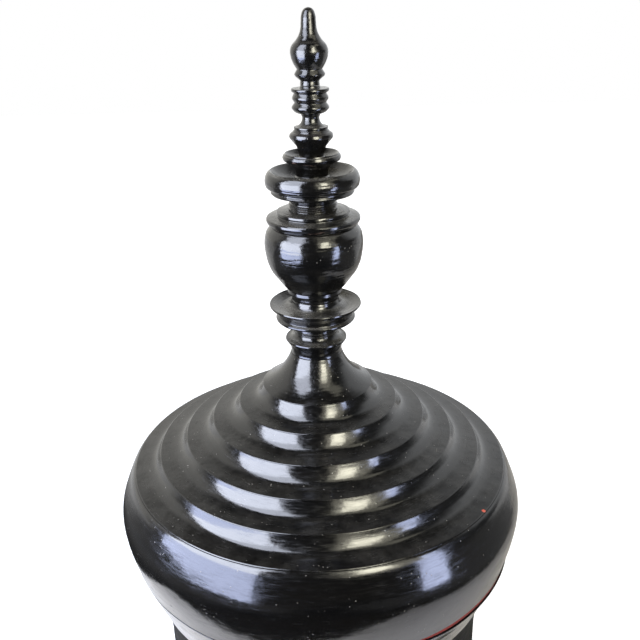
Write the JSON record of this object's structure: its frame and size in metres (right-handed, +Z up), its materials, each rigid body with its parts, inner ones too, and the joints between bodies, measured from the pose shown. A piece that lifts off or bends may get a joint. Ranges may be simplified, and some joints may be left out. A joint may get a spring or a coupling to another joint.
{
  "type": "lacquer covered offering bowl",
  "caption": "Round covered offering vessel: deep bowl on a drum foot with a lift-out tray, a stepped domed lid and a tall turned spire that unplugs from the lid.",
  "frame": {"origin": "centre of the foot ring's underside, on the surface the vessel stands on", "axes": "+Z up the axis of revolution towards the spire's tip; X and Y are alike because the vessel is round"},
  "size_m": [0.402, 0.402, 0.7221],
  "materials": {
    "black_lacquer": "gloss black lacquer over coiled bamboo and turned wood",
    "red_lacquer": "satin cinnabar red lacquer"
  },
  "bodies": {
    "base": {"pedestal_foot_ring": "black_lacquer", "pedestal_moulding": "black_lacquer", "pedestal_drum": "black_lacquer", "pedestal_top_ring": "black_lacquer", "bowl_lower_wall": "black_lacquer", "bowl_wall": "black_lacquer", "bowl_floor": "red_lacquer", "bowl_rim_hoop": "red_lacquer", "bowl_locating_ring": "red_lacquer"},
    "tray": {"tray_dish": "red_lacquer", "tray_rim_hoop": "red_lacquer"},
    "lid": {"lid_crown": "black_lacquer", "lid_tier_1": "black_lacquer", "lid_tier_2": "black_lacquer", "lid_tier_3": "black_lacquer", "lid_tier_4": "black_lacquer", "lid_tier_5": "black_lacquer", "lid_belly": "black_lacquer", "lid_rim_hoop": "red_lacquer"},
    "spire": {"spire_collar": "black_lacquer", "spire_saucer": "black_lacquer", "spire_ball": "black_lacquer", "spire_discs": "black_lacquer", "spire_large_dish": "black_lacquer", "spire_small_dish": "black_lacquer", "spire_beads": "black_lacquer", "spire_bud": "black_lacquer"}
  },
  "joints": [
    {"name": "lid_lift", "type": "slide", "parent": "base", "child": "lid", "axis": [0, 0, 1], "range_m": [0, 0.25]},
    {"name": "tray_lift", "type": "slide", "parent": "base", "child": "tray", "axis": [0, 0, 1], "range_m": [0, 0.03]},
    {"name": "spire_lift", "type": "slide", "parent": "lid", "child": "spire", "axis": [0, 0, 1], "range_m": [0, 0.08]}
  ]
}
